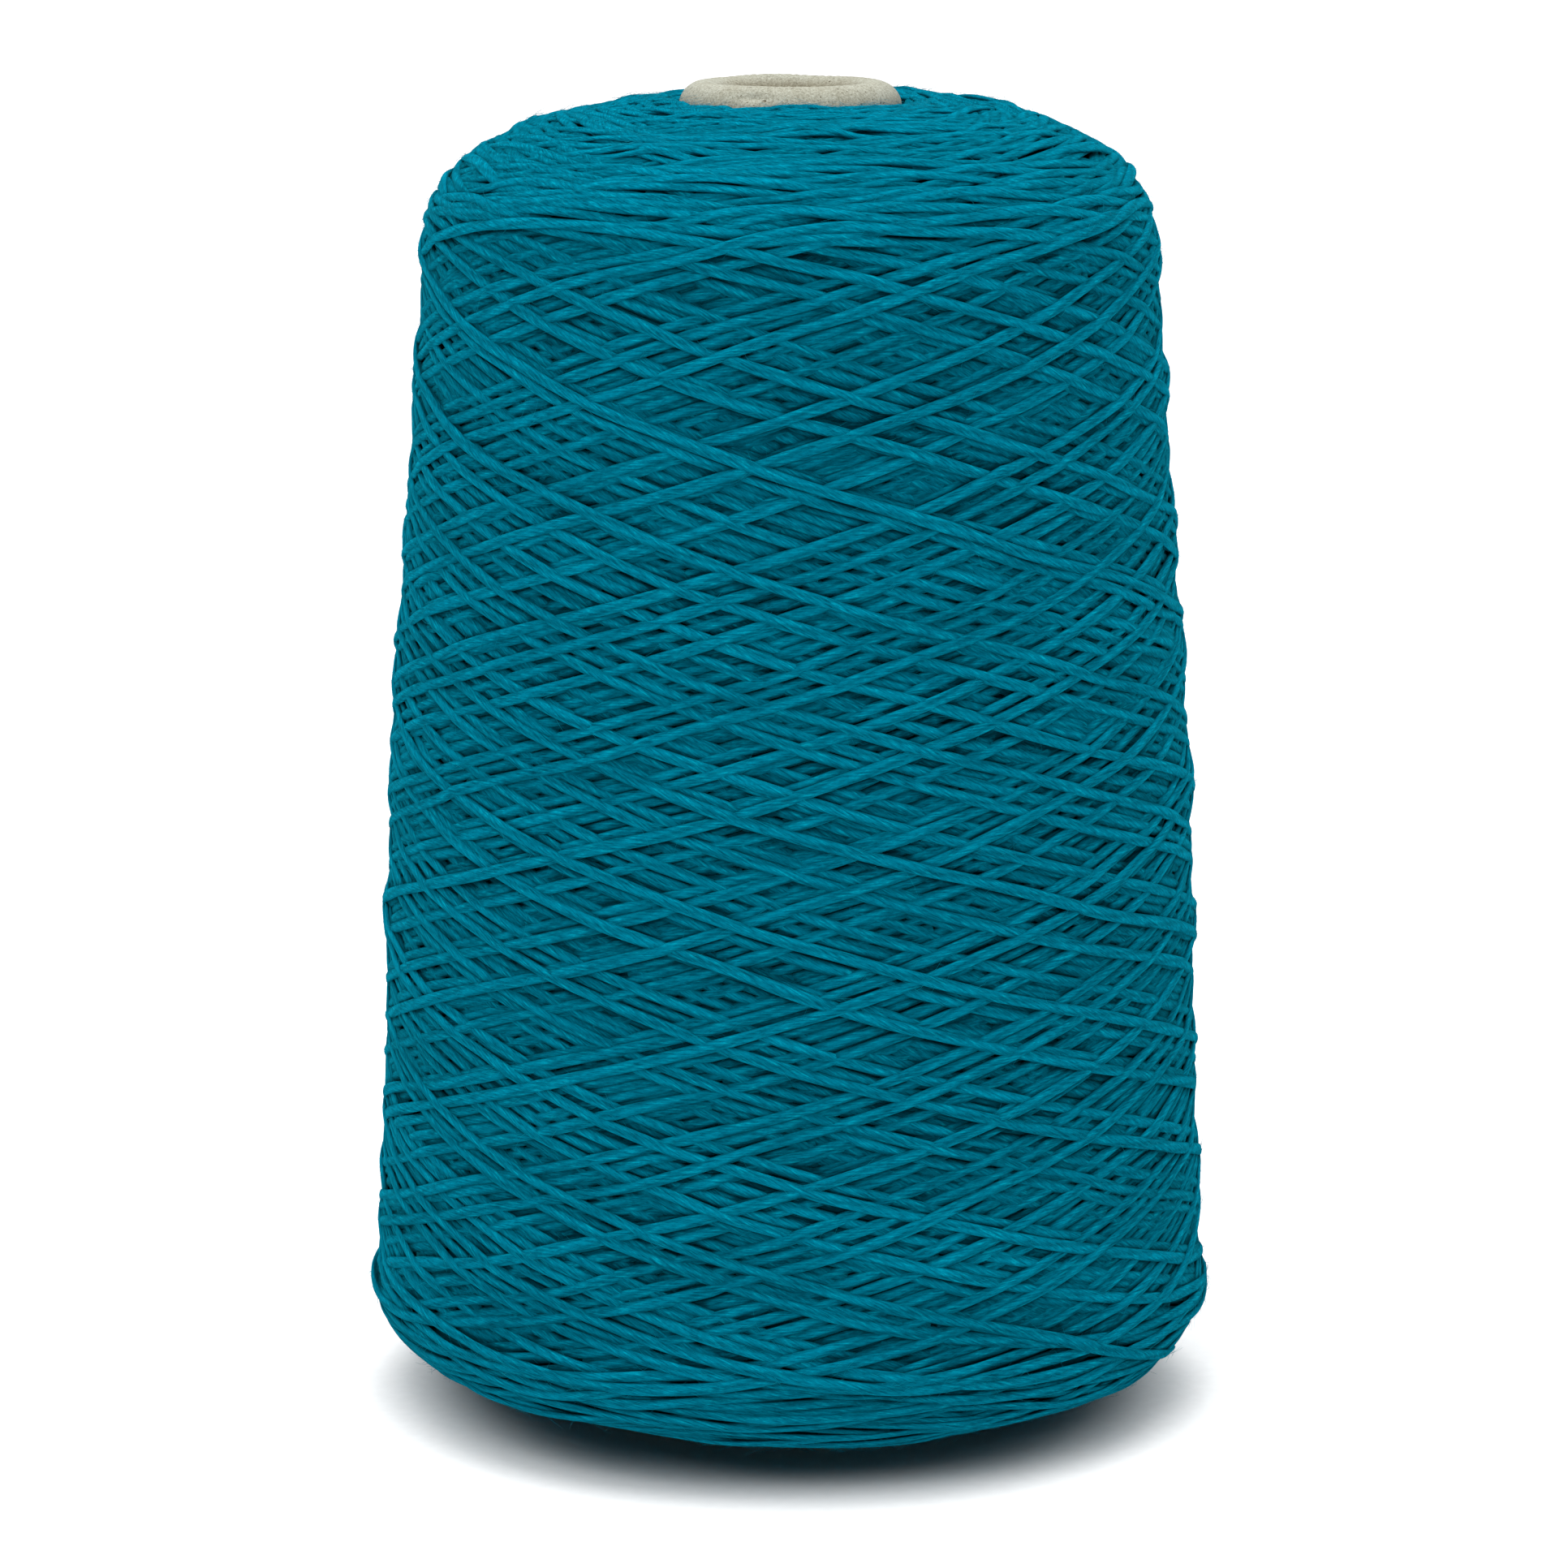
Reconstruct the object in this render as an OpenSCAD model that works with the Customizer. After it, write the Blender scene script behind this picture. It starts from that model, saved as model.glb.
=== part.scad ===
// Cross-wound yarn package on a rolled-nose paper cone.
// Two pieces: the paper cone, which stands on its wide base rim, and the yarn
// wound on it.  The cone's axis is Z, and its base rim is at z = 0.

/* [Paper cone] */
// Height of the cone from the base rim to the top of the nose
cone_len = 230; // [170:1:290]
// Outside diameter at the nose
nose_od = 38; // [32:0.5:60]
// Half-angle of the cone's taper, in degrees
taper_deg = 3.5; // [0:0.1:6]
// Thickness of the cone's wall
wall = 3.2; // [1.5:0.1:5]
// Diameter of the hole through the rolled nose
nose_hole_d = 21; // [14:0.5:25]
// Length of the straight part of the nose hole
nose_land = 8; // [4:0.5:16]
// Bevel on both edges of the base rim
rim_bevel = 0.5; // [0:0.1:0.7]

/* [Wound yarn] */
// Diameter of the package at its widest, above the rounded lower edge
package_d = 146; // [120:1:200]
// Half-angle of the package's side taper, in degrees
side_deg = 3.1; // [0:0.1:6]
// Height of bare cone below the yarn
base_margin = 6.5; // [2:0.5:20]
// Height of bare nose above the yarn
nose_margin = 3.5; // [1:0.5:12]
// Width of the rounded lower edge, measured across
edge_w = 20; // [4:0.5:22]
// Height of the rounded lower edge
edge_h = 14; // [4:0.5:24]
// Height of the domed top
dome_h = 29; // [10:1:50]
// Squareness of the dome towards the nose: 2 is an ellipse
dome_square = 2.2; // [1.6:0.1:4]
// Fullness of the dome's shoulder: 2 is an ellipse
shoulder_full = 2.9; // [1.6:0.1:4]
// Clearance between the yarn and the cone
wind_clearance = 0.3; // [0.1:0.1:1]

/* [Hidden] */

turn_facets = 96;
edge_steps = 10;
dome_steps = 18;

// Paper cone
nose_r = nose_od / 2;
hole_r = nose_hole_d / 2;
roll_r = (nose_r - hole_r) / 2;
roll_z = cone_len - roll_r;
land_z = roll_z - nose_land;
chamfer_z = land_z - (cone_r(land_z) - wall - hole_r);

// Wound yarn
bottom_z = base_margin;
top_z = cone_len - nose_margin;
side_z0 = bottom_z + edge_h;
side_z1 = top_z - dome_h;
widest_r = package_d / 2;
shoulder_r = widest_r - (side_z1 - side_z0) * tan(side_deg);
seat_r0 = cone_r(bottom_z) + wind_clearance;
seat_r1 = cone_r(top_z) + wind_clearance;

// Outside radius of the cone's straight taper at height z
function cone_r(z) = nose_r + (roll_z - z) * tan(taper_deg);

// One quarter of a superellipse of half-width w and half-height h.
// At a = 0 the point is at full width, and at a = 90 at full height.
function quarter(w, h, n, m, a) =
    [w * pow(abs(cos(a)), 2 / n), h * pow(abs(sin(a)), 2 / m)];

// Half section of the tapered wall, from the base rim up to the rolled nose
module wall_section() {
    polygon([
        [cone_r(0) - wall + rim_bevel, 0],
        [cone_r(0) - rim_bevel, 0],
        [cone_r(rim_bevel), rim_bevel],
        [nose_r, roll_z],
        [hole_r, roll_z],
        [hole_r, land_z],
        [cone_r(chamfer_z) - wall, chamfer_z],
        [cone_r(rim_bevel) - wall, rim_bevel],
    ]);
}

// Half section of the nose, where the paper rolls over into the hole
module nose_section() {
    translate([nose_r - roll_r, roll_z]) circle(r = roll_r, $fn = turn_facets);
}

// Half section of the wound yarn: flat underside, rounded lower edge,
// tapered side and domed top
module yarn_section() {
    lower_edge = [
        for (i = [0 : edge_steps])
            let (q = quarter(edge_w, edge_h, 2, 2, 90 - 90 * i / edge_steps))
                [widest_r - edge_w + q[0], side_z0 - q[1]]
    ];
    dome = [
        for (i = [0 : dome_steps])
            let (q = quarter(shoulder_r - seat_r1, dome_h, dome_square,
                             shoulder_full, 90 * i / dome_steps))
                [seat_r1 + q[0], side_z1 + q[1]]
    ];
    polygon(concat([[seat_r0, bottom_z]], lower_edge, dome));
}

module paper_cone() {
    color("tan")
        rotate_extrude($fn = turn_facets)
            union() {
                wall_section();
                nose_section();
            }
}

module wound_yarn() {
    color("teal")
        rotate_extrude($fn = turn_facets)
            yarn_section();
}

paper_cone();
wound_yarn();
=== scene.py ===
"""A cone of knitting yarn: one strand cross-wound on a rolled-nose board cone.

Everything is in metres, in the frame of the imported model. The yarn is laid on a map of heights over the
package, run by run, so that each turn rests on the turns under it as yarn under tension does. The strand
is then built as a lobed tube along those runs, wherever it can be seen.
"""
import math

import bpy
import numpy as np
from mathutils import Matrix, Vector


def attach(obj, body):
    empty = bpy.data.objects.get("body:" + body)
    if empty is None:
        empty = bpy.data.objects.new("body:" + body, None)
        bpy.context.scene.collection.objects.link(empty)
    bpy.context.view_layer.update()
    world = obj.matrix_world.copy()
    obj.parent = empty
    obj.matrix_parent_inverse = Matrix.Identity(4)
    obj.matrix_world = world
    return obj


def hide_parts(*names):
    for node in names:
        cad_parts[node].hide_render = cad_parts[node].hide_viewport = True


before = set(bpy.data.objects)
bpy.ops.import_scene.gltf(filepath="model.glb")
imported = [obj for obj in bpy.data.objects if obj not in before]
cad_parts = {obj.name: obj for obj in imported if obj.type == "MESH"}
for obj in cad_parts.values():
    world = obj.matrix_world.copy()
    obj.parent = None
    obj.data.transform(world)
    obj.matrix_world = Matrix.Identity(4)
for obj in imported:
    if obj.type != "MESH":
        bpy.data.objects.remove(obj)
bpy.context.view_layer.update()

MM = 0.001
SEED = 41

# Strand
STRAND_W = 2.0 * MM  # width, as it lies on the package
STRAND_T = 1.0 * MM  # thickness, as it lies there
CROWN_CORNERS = 7  # corners of its section's upper half, and 2 more close it below
SQUEEZE = 0.05  # how unevenly thick it is, over SQUEEZE_LENGTH
SQUEEZE_LENGTH = 9 * MM
TONE_LENGTH = 60 * MM  # over what length its colour changes
PLY_COUNT = 3
PLY_DEPTH = 0.02  # depth of the grooves between the plies, as a share of the radius
PLY_PITCH = 18.0 * MM
FIBRE_SLANT = math.radians(12)

# How the strand lies
PATH_STEP = 0.4 * MM  # spacing of the samples along a run
RINGS_EVERY = 4  # samples between two rings of the strand's tube
PRESSED = 0.85  # share of its thickness that is left where turns cross
TENSION = 0.4  # 1 lies on its supports like a wire, 0 follows every turn under it
SINK = 0.45 * MM  # how far a turn may press into what it lies on
RELIEF = 0.88  # share of the height differences that is left once the package is wound tight
DOME_RELIEF = 0.72  # share of those that is left on the dome, where the turns lie side by side
FOOTPRINT = 0.96  # share of its width that rests on what is under it
RESTING_TAPS = 7  # places across it where what is under it is felt
LAID_TAPS = 9  # places across it where it raises the map
ON_TOP = 0.55  # the strand rests this much on the highest place under it
ON_MEAN = 0.45  # and this much on the mean of them
RUN_CURVE = 1.1  # a run crosses at a slant, so it curves this much less than the package
SLIDE = 0.7 * MM  # how far a turn may slide sideways into a groove
SLIDE_SOFT = 9 * MM  # how stiff the strand is against sliding
SLIDE_SLOPE = STRAND_T / 4  # height difference at which it slides most of the way
HIGHEST = 0.7 * MM  # how far over the surface a turn may stand
DEEPEST = 1.5 * MM  # how far under the surface the deepest turns that show lie
SHOWN_UNDER = 0.3 * MM  # how far a turn may lie under the topmost yarn and still count as seen

# Cross winding on the side
DOUBLE_STROKES = 360  # strokes up and down that are laid
FULL_STROKES = 40  # the first of them, which run from end to end of the cone
INSET = 1.3 * MM  # where those turn back, from the ends of the package's outline
FOOT_LAST = -3 * MM  # where the last stroke turns back, from the widest turn
TOP_LAST = 5 * MM  # where the last stroke turns back, from the shoulder
TURNS_LAST = 3 + 1 / 7 + 0.0026  # turns in the last double stroke
TURNS_DRIFT = 0.0005  # turns by which each earlier double stroke is longer
TURN_JITTER = 0.001
STROKE_JITTER = 1.3 * MM  # how unevenly the strokes end
WANDER = 0.2 * MM
WANDER_LENGTH = 28 * MM
TURNBACK = 38 * MM  # how softly the strand turns back at the ends of a stroke
TURNBACK_LOSS = 0.8  # share of a soft turn-back that the stroke is made longer by

# Laying in steps along the strand
LAID_AT_ONCE = 1500  # samples that are laid in one step, less than it takes to come back to a place
LEAD_IN = 120  # samples before a step that its heights join on to
HELD_BACK = 4  # last samples that are only laid with the next step, so it doesn't climb on them
SHOWN_MARGIN = 5 * MM  # how far the strand is built on beyond where it shows
LEVEL_BLUR = 7 * MM  # the package's lumps that are wider than this are evened out
LEVEL_SHARE = 90  # percentage of the surface that lies under the nominal one
BED_GAP = 0.3 * MM  # how far the inner turns lie under the deepest strand

# Outline, where it differs from the nominal surface
HEAP_REACH = 26 * MM  # how far from the nose the yarn is heaped against it
HEAP = 0.65 * MM  # how high it is heaped all round
HEAP_MORE = 0.75 * MM  # how much higher at HEAP_ANGLE
HEAP_ANGLE = math.radians(65)
HOLLOW = 1.0 * MM  # how much lower at HOLLOW_ANGLE, where it shows more of the nose
HOLLOW_ANGLE = math.radians(-10)
HEAP_WAVE = 0.1 * MM  # how uneven it is around the nose
HEAP_WAVES = 5
AROUND_FALL = 4  # how steeply the heap and the hollow end around the package
DOME_FULL = 0.8 * MM  # how much fuller the dome is on one side, half way down it
DOME_REACH = 17 * MM
SIDE_FULL = 0.5 * MM  # how far the side's turns stand out over the nominal surface
SIDE_FADE = 15 * MM  # over what length that begins and ends
SIDE_END = 20 * MM  # and where it ends, under the widest turn
FOOT_FULL = 0.72 * MM  # how much fuller the foot is where it turns under
FOOT_MORE = 0.56 * MM  # and how much more on the dome's fuller side
FOOT_PLACE = 9 * MM  # from the widest turn
FOOT_LOWER = 7 * MM  # how much lower that is on the dome's fuller side
FOOT_REACH = 8.5 * MM

# Shade by how far a place lies under the turns around it
COVER_OPEN = -0.03 * MM  # a place that stands this far over them is fully lit
COVER_SHUT = 0.36 * MM  # and this far under them it is in the dark crease between two turns
COVER_SKY = 0.6  # how much less an upward surface is shaded, because the light comes from above
CREASE_BLUR = (1, 4, 6, 4, 1)  # weights over neighbouring cells of the map

# Map of heights
MAP_ANGLES = 800
MAP_STEP = 0.45 * MM

OUTLINE_STEP = 0.5 * MM
OUTLINE_BLUR = 4  # samples over which its corners are rounded
SHOULDER_SLOPE = math.radians(12)  # the shoulder is where the surface turns up by this much
BULGE = 1.5 * MM  # how far the side swells at half height
MAX_PIECE_FACES = 190_000  # triangles in one piece of the strand

# Rows that the strand is laid out in, in its UV map for baking
ROW_GIRTH = 1.25  # width of a row, in girths of the strand
ROW_SPARE = 1.02  # length that a row has, in lengths that it needs
ROW_START = 0.08  # where in its row the strand's girth starts
ROW_FILL = 0.84  # share of the row that the girth fills
RUN_GAP = 2 * MM  # between two runs in a row
CAP_PLACES = 7  # places along the map's right edge for the strand's cut ends
CAP_EDGE = 0.0015  # how far from that edge they are
CAP_SIZE = 0.001

# Inner turns
BED_SIDES = 192
BED_STEP = 3  # samples of the outline between two of their rings

# Light tent: how bright it is, by the sine of the height in the sky
TENT_LOW = 0.35
TENT_HIGH = 0.75
TENT_DARK = 0.05
TENT_LIGHT = 2.0

# Board cone
CONE_SIDES = 384
CONE_STEP = 2.2 * MM
LIP_BELOW = 1 * MM  # the lip starts this far under its roll
LIP_FADE = 3 * MM
HOLE_WALL = 3.5 * MM  # how far round the hole it is creased
HOLE_DEPTH = 12 * MM  # and how far down
STANDING = 1 * MM  # the rim stays even up to this height, so that it stands flat
BORE_WALL = 2.4 * MM  # how far round the hole painted shade darkens the board
BORE_FADE = 2 * MM
LUMPS = 0.07 * MM  # how uneven the board is
CREASES = -0.07 * MM  # creases where it is rolled into the hole
GRAIN = 0.02 * MM  # its fine grain
LAP = 0.22 * MM  # height of the board's glued lap
LAP_ANGLE = math.radians(200)  # where it runs
LAP_HALF = 0.14  # half its width, as an angle
LAP_STEEP = 400
DENT = -0.5 * MM  # where the lip was pinched: depth, angle, half width and half height
DENT_ANGLE = math.radians(250)
DENT_WIDTH = 0.13
DENT_HEIGHT = 0.8 * MM
DENT_ABOVE = 2.6 * MM  # height of the dent over the start of the lip's roll
DENT_OUTSIDE = 4 * MM  # it is only on the outside of the lip, this far from the hole

# Loose fibres that stand out of the strand
HAIRS = 9400
HAIR_RADIUS = 0.03 * MM
HAIR_TIP = 0.35  # radius of the tip, as a share
HAIR_LENGTH = 2.6 * MM
HAIR_LENGTHS = (0.4, 1.4)  # shortest and longest, as shares of that
HAIR_TURNS = -0.35 * MM  # they stand on turns that lie no deeper than this
HAIR_SPREAD = 0.8  # share of the strand's width that they are rooted over
HAIR_ROOT = 0.9  # height of their roots, as a share of the strand's half thickness
HAIR_RISES = (0.08, 0.55)  # least and greatest slope off the strand
HAIR_DROOP = 0.35  # share of its rise that a fibre bends back by
HAIR_SWAY = 0.35  # how far they lean sideways
HAIR_CURL = 0.5  # how far they bend sideways
HAIR_RINGS = 4
HAIR_SIDES = 3
FOOT_FLUFF = 2.2  # how many more of them the foot has, for its size
FOOT_FLUFF_UNDER = 36 * MM

# Floor and camera
FLOOR_REACH = 6.0
CAMERA_AWAY = 963 * MM
CAMERA_HEIGHT = 297.5 * MM
CAMERA_ASIDE = -1.05 * MM
CAMERA_PITCH = math.radians(11.13)
LENS = 129.3


# ------------ small tools
def smooth(values, sigma):
    """Gaussian smoothing by sigma samples that keeps the ends and straight lines as they are."""
    reach = min(int(3 * sigma) + 1, len(values) - 1)
    weights = np.exp(-0.5 * (np.arange(-reach, reach + 1) / sigma) ** 2)
    padded = np.pad(values, reach, mode="reflect", reflect_type="odd")
    return np.convolve(padded, weights / weights.sum(), mode="valid")


def wander(count, step, length, rng):
    """Smooth random values with a spread of about 1, for samples step apart."""
    x = np.arange(count) * step / length
    knots = rng.normal(size=int(x[-1]) + 3)
    i = x.astype(int)
    f = x - i
    f = f * f * (3 - 2 * f)
    return knots[i] * (1 - f) + knots[i + 1] * f


def new_mesh(name, vertices, quads, caps=()):
    """A smooth-shaded mesh object of quads, with polygons that close its ends."""
    mesh = bpy.data.meshes.new(name)
    corners = np.concatenate([quads.ravel(), *[np.asarray(c).ravel() for c in caps]])
    starts = [np.arange(len(quads)) * 4]
    at = len(quads) * 4
    for cap in caps:
        cap = np.asarray(cap)
        starts.append(at + np.arange(len(cap)) * cap.shape[1])
        at += cap.size
    starts = np.concatenate(starts)
    mesh.vertices.add(len(vertices))
    mesh.vertices.foreach_set("co", vertices.astype(np.float32).ravel())
    mesh.loops.add(len(corners))
    mesh.loops.foreach_set("vertex_index", corners.astype(np.int32))
    mesh.polygons.add(len(starts))
    mesh.polygons.foreach_set("loop_start", starts.astype(np.int32))
    mesh.polygons.foreach_set("use_smooth", np.ones(len(starts), bool))
    mesh.update(calc_edges=True)
    mesh.validate()
    piece = bpy.data.objects.new(name, mesh)
    bpy.context.scene.collection.objects.link(piece)
    return piece


def ring_quads(count, sides):
    """Faces of a closed body of revolution with count rings, the last joined to the first."""
    i = np.arange(count)[:, None]
    j = np.arange(sides)[None, :]
    a = i * sides + j
    b = i * sides + (j + 1) % sides
    up = ((i + 1) % count) * sides
    return np.stack([a, b, up + (j + 1) % sides, up + j], axis=-1).reshape(-1, 4)


def add_attribute(piece, name, kind, values):
    """Gives each vertex of a piece a value that its material reads."""
    field = "vector" if kind == "FLOAT_VECTOR" else "value"
    attribute = piece.data.attributes.new(name, kind, "POINT")
    attribute.data.foreach_set(field, values.astype(np.float32).ravel())


# ------------ the package's surface
class Surface:
    """The package's outer surface. s runs along its outline from the underside's inner edge to the nose."""

    def __init__(self, node):
        """Reads the outline of the CAD's yarn, evens out its samples and lets the side swell."""
        r, z = self.outline(node)
        length = np.concatenate([[0], np.cumsum(np.hypot(np.diff(r), np.diff(z)))])
        self.s = np.arange(0, length[-1], OUTLINE_STEP)
        r = smooth(np.interp(self.s, length, r), OUTLINE_BLUR)
        z = smooth(np.interp(self.s, length, z), OUTLINE_BLUR)
        self.set_line(r, z)
        self.end = self.s[-1]
        self.widest = self.s[np.argmax(r)]
        low = z[np.argmax(r)]
        high = self.z[self.nz > math.sin(SHOULDER_SLOPE)]
        high = high[high > low].min()
        t = np.clip((self.z - low) / (high - low), 0, 1)
        swell = BULGE * np.sin(math.pi * t) ** 4
        self.set_line(self.r + self.nr * swell, self.z + self.nz * swell)
        self.shoulder = np.interp(high, self.z[self.s > self.widest], self.s[self.s > self.widest])

    @staticmethod
    def outline(node):
        """Radius and height of the corners of the CAD solid's section, without the bore."""
        co = np.array([v.co for v in node.data.vertices])
        corners = np.column_stack([np.hypot(co[:, 0], co[:, 1]), co[:, 2]])
        corners = np.unique(np.round(corners, 5), axis=0)
        middle = (corners.min(0) + corners.max(0)) / 2
        foot = corners[np.lexsort((corners[:, 0], corners[:, 1]))[0]]
        tip = corners[np.lexsort((corners[:, 0], -corners[:, 1]))[0]]
        turn = np.arctan2(corners[:, 1] - middle[1], corners[:, 0] - middle[0])
        first = math.atan2(foot[1] - middle[1], foot[0] - middle[0])
        last = math.atan2(tip[1] - middle[1], tip[0] - middle[0])
        outside = (turn > first - 1e-6) & (turn < last + 1e-6)
        outer = corners[outside][np.argsort(turn[outside])]
        return outer[:, 0], outer[:, 1]

    def set_line(self, r, z):
        """Sets the outline, and the direction that the surface faces along it."""
        self.r, self.z = r, z
        dr, dz = np.gradient(r), np.gradient(z)
        length = np.hypot(dr, dz)
        self.nr = smooth(dz / length, 3)
        self.nz = smooth(-dr / length, 3)

    def radius(self, s):
        """Radius of the package at s."""
        return np.interp(s, self.s, self.r)

    def normals(self, angle, s):
        """Outward directions at places on the surface."""
        nr = np.interp(s, self.s, self.nr)
        nz = np.interp(s, self.s, self.nz)
        size = np.hypot(nr, nz)
        nr, nz = nr / size, nz / size
        return np.column_stack([nr * np.cos(angle), nr * np.sin(angle), nz])

    def points(self, angle, s, height):
        """Points at a height over places on the surface."""
        r = self.radius(s)
        z = np.interp(s, self.s, self.z)
        base = np.column_stack([r * np.cos(angle), r * np.sin(angle), z])
        return base + self.normals(angle, s) * height[:, None]


def section_turns():
    """Angles of the corners of the strand's section, closer together over its crown."""
    crown = np.linspace(0, math.pi, CROWN_CORNERS)
    return np.concatenate([crown, [math.pi * 4 / 3, math.pi * 5 / 3]])


SECTION = section_turns()
STRAND_SIDES = len(SECTION)


# ------------ laying the yarn
class HeightMap:
    """How high the yarn stands over the bed, for each angle and each place along the outline."""

    def __init__(self, surface):
        """An empty map over a surface."""
        self.surface = surface
        self.rows = int(surface.end / MAP_STEP) + 2
        self.height = np.zeros((self.rows, MAP_ANGLES))

    def cells(self, angle, s):
        """Rows and columns of the map at places on the surface."""
        column = np.round(angle * MAP_ANGLES / (2 * math.pi)).astype(int) % MAP_ANGLES
        row = np.clip(np.round(s / MAP_STEP).astype(int), 0, self.rows - 1)
        return row, column

    def across(self, angle, s, count):
        """Cells and offsets of count taps across a run of strand."""
        r = self.surface.radius(s)
        along_turn = np.gradient(angle) * r
        along_s = np.gradient(s)
        size = np.hypot(along_turn, along_s)
        offsets = np.linspace(-0.5, 0.5, count) * STRAND_W * FOOTPRINT
        tap_angle = angle[:, None] - (along_s / size / r)[:, None] * offsets
        tap_s = s[:, None] + (along_turn / size)[:, None] * offsets
        return self.cells(tap_angle, tap_s), offsets

    def support(self, angle, s):
        """How high a soft strand's underside lies on what is there, and the mean height of that."""
        (row, column), offsets = self.across(angle, s, RESTING_TAPS)
        bulge = STRAND_T / 2 * (1 - np.sqrt(1 - (2 * offsets / STRAND_W) ** 2))
        under = self.height[row, column] - bulge
        return ON_TOP * under.max(1) + ON_MEAN * under.mean(1), under.mean(1)

    def way_down(self, angle, s):
        """How far a run slides sideways, towards the lower side of what it lies on."""
        below = self.support(angle, s - SLIDE)[1]
        above = self.support(angle, s + SLIDE)[1]
        slope = smooth(below - above, SLIDE_SOFT / PATH_STEP)
        return SLIDE * np.tanh(slope / SLIDE_SLOPE)

    def lay(self, angle, s, bottom):
        """Adds a run of strand, pressed to the share PRESSED of its thickness."""
        (row, column), offsets = self.across(angle, s, LAID_TAPS)
        crown = STRAND_T * PRESSED * np.sqrt(1 - (2 * offsets / STRAND_W) ** 2)
        np.maximum.at(self.height, (row, column), bottom[:, None] + crown)

    def find_level(self):
        """The smooth surface that the topmost turns stand at."""
        smoothed = np.array([smooth(column, LEVEL_BLUR / MAP_STEP) for column in self.height.T]).T
        cell = 2 * math.pi * self.surface.radius(self.surface.widest) / MAP_ANGLES
        sigma = LEVEL_BLUR / cell
        reach = int(4 * sigma)
        around = np.concatenate([smoothed[:, -reach:], smoothed, smoothed[:, :reach]], axis=1)
        smoothed = np.array([smooth(row, sigma)[reach:-reach] for row in around])
        stands = np.percentile(self.height - smoothed, LEVEL_SHARE)
        self.top = smoothed + stands

    def packed_depth(self, angle, s, height):
        """Height over the package's surface of a run of strand, once it is wound tight."""
        row, column = self.cells(angle, s)
        return smooth(packed(height - smooth(self.top[row, column], 4)), 2)

    def find_shade(self):
        """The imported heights, blurred a little, that creases and contacts are shaded from."""
        weights = np.array(CREASE_BLUR) / sum(CREASE_BLUR)
        reach = len(CREASE_BLUR) // 2
        padded = np.pad(packed(self.height - self.top), ((reach, reach), (0, 0)), mode="edge")
        shade = sum(w * padded[i : i + self.rows] for i, w in enumerate(weights))
        self.shade = sum(w * np.roll(shade, i - reach, axis=1) for i, w in enumerate(weights))

    def cover(self, angle, s, swing, rise, flat):
        """How far each corner of the strand's rings lies under the turns around it."""
        across = np.cos(SECTION) * STRAND_W / 2
        up = flat[:, None] + (np.sin(SECTION) - 1) * STRAND_T / 2
        column = (angle[:, None] + swing[:, None] * across) * MAP_ANGLES / (2 * math.pi)
        row = np.clip((s[:, None] + rise[:, None] * across) / MAP_STEP, 0, self.rows - 1.001)
        i, j = np.floor(row).astype(int), np.floor(column).astype(int)
        f, g = row - i, column - j
        left, right = j % MAP_ANGLES, (j + 1) % MAP_ANGLES
        low = self.shade[i, left] * (1 - g) + self.shade[i, right] * g
        high = self.shade[i + 1, left] * (1 - g) + self.shade[i + 1, right] * g
        return low * (1 - f) + high * f - up

    def shows(self, angle, s, bottom):
        """Whether some part of a run's width is the topmost yarn."""
        (row, column), offsets = self.across(angle, s, RESTING_TAPS)
        crown = STRAND_T * PRESSED * np.sqrt(1 - (2 * offsets / STRAND_W) ** 2)
        return (self.height[row, column] < bottom[:, None] + crown + SHOWN_UNDER).any(1)


def pulled_tight(support, curve_radius):
    """Height of a thread pulled tight over its supports, on a surface that curves by that radius."""
    x = np.arange(len(support)) * PATH_STEP
    fall = x * x / (2 * curve_radius)
    level = (support - fall).tolist()
    places = x.tolist()
    kept = []
    for i in range(len(level)):
        while len(kept) > 1:
            a, b = kept[-2], kept[-1]
            rise = (places[b] - places[a]) * (level[i] - level[a])
            if rise < (level[b] - level[a]) * (places[i] - places[a]):
                break
            kept.pop()
        kept.append(i)
    return np.interp(x, x[kept], np.array(level)[kept]) + fall


def rest_height(support, curve_radius):
    """Height of the underside of a run: partly a tight thread, partly soft yarn."""
    soft = smooth(support, 6)
    tight = pulled_tight(smooth(support, 2), curve_radius)
    blended = TENSION * tight + (1 - TENSION) * soft
    return smooth(np.maximum(blended, soft - SINK), 3)


def cross_winding(surface, rng):
    """The strand's whole run. Its strokes get shorter, which forms the dome and the foot."""
    middle = surface.radius((surface.widest + surface.shoulder) / 2)
    turn_step = PATH_STEP / middle
    cut_share = TURNBACK_LOSS * TURNBACK / (math.pi * TURNS_LAST * middle)
    foot_first, foot_last = INSET, surface.widest + FOOT_LAST
    top_first, top_last = surface.end - INSET, surface.shoulder + TOP_LAST
    ends = []
    counts = []
    for m in range(DOUBLE_STROKES):
        share = max(0, m - FULL_STROKES) / (DOUBLE_STROKES - 1 - FULL_STROKES)
        turns = TURNS_LAST + TURNS_DRIFT * (DOUBLE_STROKES - 1 - m)
        foot = foot_first + (foot_last - foot_first) * share + abs(rng.normal()) * STROKE_JITTER
        top = top_first + (top_last - top_first) * share - abs(rng.normal()) * STROKE_JITTER
        cut = cut_share * (top - foot)
        ends += [foot - cut, top + cut]
        for _ in range(2):
            jitter = rng.uniform(1 - TURN_JITTER, 1 + TURN_JITTER)
            counts.append(math.pi * turns / turn_step * jitter)
    ends.append(foot_last - cut)
    places = np.concatenate([[0], np.cumsum(counts)])
    sample = np.arange(int(places[-1]))
    s = np.interp(sample, places, ends)
    s = smooth(s, TURNBACK / PATH_STEP)
    s += WANDER * wander(len(s), PATH_STEP, WANDER_LENGTH, rng)
    s = np.clip(s, INSET, surface.end - INSET)
    return rng.uniform(0, 2 * math.pi) + sample * turn_step, s


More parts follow.
